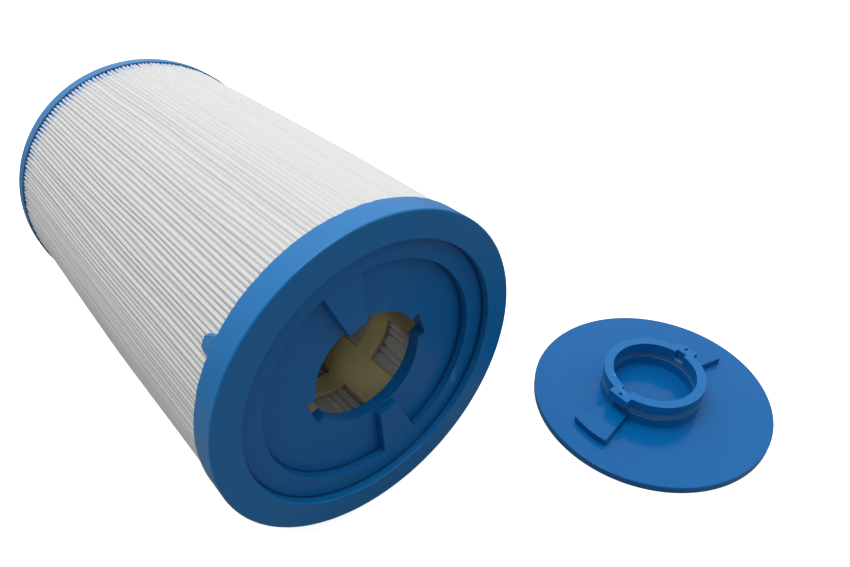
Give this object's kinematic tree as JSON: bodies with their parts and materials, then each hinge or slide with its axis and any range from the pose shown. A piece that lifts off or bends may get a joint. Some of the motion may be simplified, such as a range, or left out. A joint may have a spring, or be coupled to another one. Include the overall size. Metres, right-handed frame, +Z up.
{
  "type": "filter cartridge",
  "caption": "Pleated water filter cartridge with cast end caps, a windowed core and a twist-lock lid with a bayonet collar.",
  "frame": {"origin": "centre of the outlet bore at the back end cap's outer face", "axes": "+Y along the cartridge's axis from the mouth to the back, out of the outlet bore; +Z up; the cartridge lies on its side and rests on z = -0.108; the lid lies beside the mouth on +X"},
  "size_m": [0.4018, 0.4966, 0.216],
  "materials": {
    "blue_cast": "satin",
    "blue_moulded": "gloss",
    "blue_sheet": "gloss",
    "media": "matte",
    "core": "satin",
    "seal": "matte",
    "strip": "matte"
  },
  "bodies": {
    "cartridge": {"front_end_cap": "blue_cast", "mouth_plate": "blue_moulded", "stop_block_upper": "blue_moulded", "stop_block_lower": "blue_moulded", "pleated_media": "media", "pack_seam_strip": "strip", "core_tube": "core", "back_end_cap": "blue_cast", "outlet_collar": "blue_moulded"},
    "seal": {"collar_seal_ring": "seal"},
    "lid": {"lid_disc": "blue_sheet", "lid_tab_right": "blue_sheet", "lid_tab_left": "blue_sheet", "collar_base_ring": "blue_moulded", "bayonet_ring": "blue_moulded"}
  },
  "joints": [
    {"name": "lid_lift", "type": "slide", "parent": "cartridge", "child": "seal", "axis": [0, 0, 1], "range_m": [0, 0.24]},
    {"name": "lid_twist", "type": "hinge", "parent": "seal", "child": "lid", "pos_m": [0.2044, -0.4072, -0.108], "axis": [0, 0, 1], "range_deg": [-65, 70]}
  ]
}
